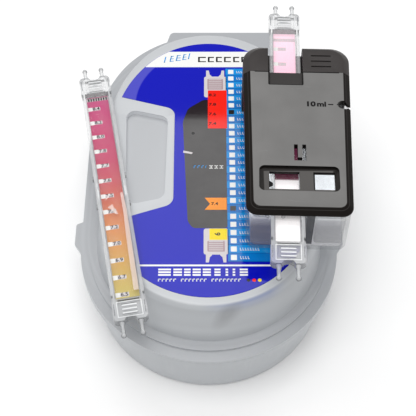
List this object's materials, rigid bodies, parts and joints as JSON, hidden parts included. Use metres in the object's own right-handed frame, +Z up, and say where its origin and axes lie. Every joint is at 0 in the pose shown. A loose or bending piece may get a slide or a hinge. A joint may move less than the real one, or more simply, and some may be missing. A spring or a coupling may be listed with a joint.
{
  "type": "water test kit",
  "caption": "Clamshell case with a printed lid holding test tablets, with a two-cell colour comparator for water samples and sliding colour scales laid on top",
  "frame": {"origin": "centre of the flat underside of the case, on the surface it stands on", "axes": "+Z up; +Y from the opening front of the case towards its hinge, along the length; +X across the case, towards the comparator"},
  "size_m": [0.1176, 0.1788, 0.0675],
  "materials": {
    "case_plastic": "frosted translucent polypropylene, satin",
    "lid_plastic": "frosted translucent polypropylene, satin",
    "hinge_plastic": "flexed film of the same polypropylene",
    "printed_label": "laminated print, deep blue",
    "paper": "uncoated folded sheet",
    "foil": "embossed foil",
    "tablet": "pressed powder",
    "rod_clear": "clear acrylic",
    "rod_dark": "moulded",
    "cover_black": "satin moulding",
    "cap_black": "satin moulding",
    "chamber_clear": "clear, slightly smoky",
    "barrier_black": "opaque",
    "opal": "opal diffusing",
    "seal_rubber": "soft",
    "slide_clear": "clear styrene",
    "lens_clear": "clear styrene, polished",
    "scale_print": "graded colour print"
  },
  "bodies": {
    "case": {"case_base": "case_plastic", "hinge_film": "hinge_plastic", "leaflet": "paper", "tablet_foil_1": "foil", "tablet_foil_2": "foil", "tablet_foil_3": "foil", "tablets_1": "tablet", "tablets_2": "tablet", "tablets_3": "tablet", "rod_shaft": "rod_clear", "rod_foot": "rod_dark"},
    "lid": {"case_lid": "lid_plastic", "label_insert": "printed_label"},
    "tester": {"tester_cover": "cover_black", "tester_chamber": "chamber_clear", "light_barrier": "barrier_black", "back_diffuser": "opal"},
    "cap": {"chamber_cap": "cap_black", "cap_seal": "seal_rubber"},
    "test_slide": {"test_slide_tray": "slide_clear", "test_slide_scale": "scale_print", "test_slide_lens": "lens_clear"},
    "spare_slide": {"spare_slide_tray": "slide_clear", "spare_slide_scale": "scale_print", "spare_slide_lens": "lens_clear"}
  },
  "joints": [
    {"name": "lid_hinge", "type": "hinge", "parent": "case", "child": "lid", "pos_m": [0.0069, 0.09, 0.023], "axis": [-1, 0, 0], "range_deg": [0, 105]},
    {"name": "tester_lift", "type": "slide", "parent": "lid", "child": "tester", "axis": [0, 0, 1], "range_m": [0, 0.025]},
    {"name": "cap_pull", "type": "slide", "parent": "tester", "child": "cap", "axis": [0.0286, 0.9996, 0], "range_m": [0, 0.025]},
    {"name": "strip_slide", "type": "slide", "parent": "tester", "child": "test_slide", "axis": [0.0286, 0.9996, 0], "range_m": [-0.08, 0.027]},
    {"name": "spare_slide_lift", "type": "slide", "parent": "lid", "child": "spare_slide", "axis": [0, 0, 1], "range_m": [0, 0.025]}
  ]
}
